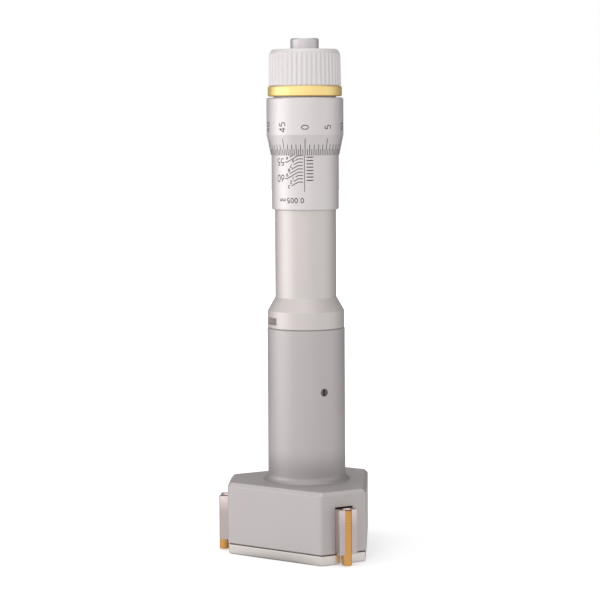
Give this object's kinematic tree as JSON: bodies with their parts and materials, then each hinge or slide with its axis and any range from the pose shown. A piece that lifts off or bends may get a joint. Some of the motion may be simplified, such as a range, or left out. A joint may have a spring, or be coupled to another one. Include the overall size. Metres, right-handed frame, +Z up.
{
  "type": "inside micrometer",
  "caption": "Inside micrometer: a faceted head with radially sliding anvils and gold contact pins, a cone on a push rod, a graduated sleeve and thimble, and a fluted ratchet knob.",
  "frame": {"origin": "on the spindle axis, at the flat underside of the head's bottom cover", "axes": "+Z up along the spindle axis from the head to the ratchet knob; -Y is the side of the sleeve's index line; +X is to the right of the index line seen from the front"},
  "size_m": [0.047, 0.0496, 0.1586],
  "materials": {
    "satin_steel": "satin chromed",
    "scale_chrome": "dull satin chrome with black-filled graduations",
    "bright_steel": "ground",
    "anvil_steel": "ground, hardened",
    "dark_steel": "blackened",
    "button_steel": "turned, satin",
    "spring_steel": "drawn",
    "knob_alloy": "bead blasted, clear anodised",
    "gold_ring": "pale gold anodised",
    "gold_coated_carbide": "nitride coated, ground",
    "bronze": "reamed"
  },
  "bodies": {
    "head": {"head_housing": "satin_steel", "bottom_cover": "bright_steel", "cover_screws": "dark_steel", "spring_posts": "dark_steel", "head_set_screw": "dark_steel", "body_tube": "satin_steel", "outer_sleeve": "scale_chrome", "inner_sleeve": "bright_steel", "adjusting_nut": "bright_steel", "lower_bush": "bronze", "upper_bush": "bronze", "rod_key": "dark_steel", "return_spring_1": "spring_steel", "return_spring_2": "spring_steel", "return_spring_3": "spring_steel"},
    "push_rod": {"push_rod": "bright_steel", "measuring_cone": "bright_steel", "thrust_ball": "bright_steel"},
    "thimble": {"thimble": "scale_chrome", "spindle": "bright_steel", "ratchet_crown": "dark_steel", "ratchet_screw": "button_steel"},
    "ratchet": {"ratchet_knob": "knob_alloy", "colour_ring": "gold_ring", "ratchet_pawl_ring": "dark_steel", "ratchet_spring": "spring_steel"},
    "anvil_1": {"anvil_1": "anvil_steel", "contact_pin_1": "gold_coated_carbide"},
    "anvil_2": {"anvil_2": "anvil_steel", "contact_pin_2": "gold_coated_carbide"},
    "anvil_3": {"anvil_3": "anvil_steel", "contact_pin_3": "gold_coated_carbide"}
  },
  "joints": [
    {"name": "rod_slide", "type": "slide", "parent": "head", "child": "push_rod", "axis": [0, 0, -1], "range_m": [-0.005, 0.008]},
    {"name": "thimble_spin", "type": "hinge", "parent": "push_rod", "child": "thimble", "pos_m": [0, 0, 0.13], "axis": [0, 0, -1], "range_deg": [-3600, 5760]},
    {"name": "ratchet_slip", "type": "hinge", "parent": "thimble", "child": "ratchet", "pos_m": [0, 0, 0.148], "axis": [0, 0, -1], "continuous": true},
    {"name": "anvil_1_slide", "type": "slide", "parent": "head", "child": "anvil_1", "axis": [0.4594, -0.8882, 0], "range_m": [-0.0025, 0.004], "deforming": ["return_spring_1"]},
    {"name": "anvil_2_slide", "type": "slide", "parent": "head", "child": "anvil_2", "axis": [0.5395, 0.842, 0], "range_m": [-0.0025, 0.004], "deforming": ["return_spring_2"]},
    {"name": "anvil_3_slide", "type": "slide", "parent": "head", "child": "anvil_3", "axis": [-0.9989, 0.0462, 0], "range_m": [-0.0025, 0.004], "deforming": ["return_spring_3"]}
  ],
  "couplings": [
    {"joint": "thimble_spin", "follows": "rod_slide", "rad_per_m": 12566},
    {"joint": "anvil_1_slide", "follows": "rod_slide", "ratio": 0.5},
    {"joint": "anvil_2_slide", "follows": "rod_slide", "ratio": 0.5},
    {"joint": "anvil_3_slide", "follows": "rod_slide", "ratio": 0.5}
  ]
}
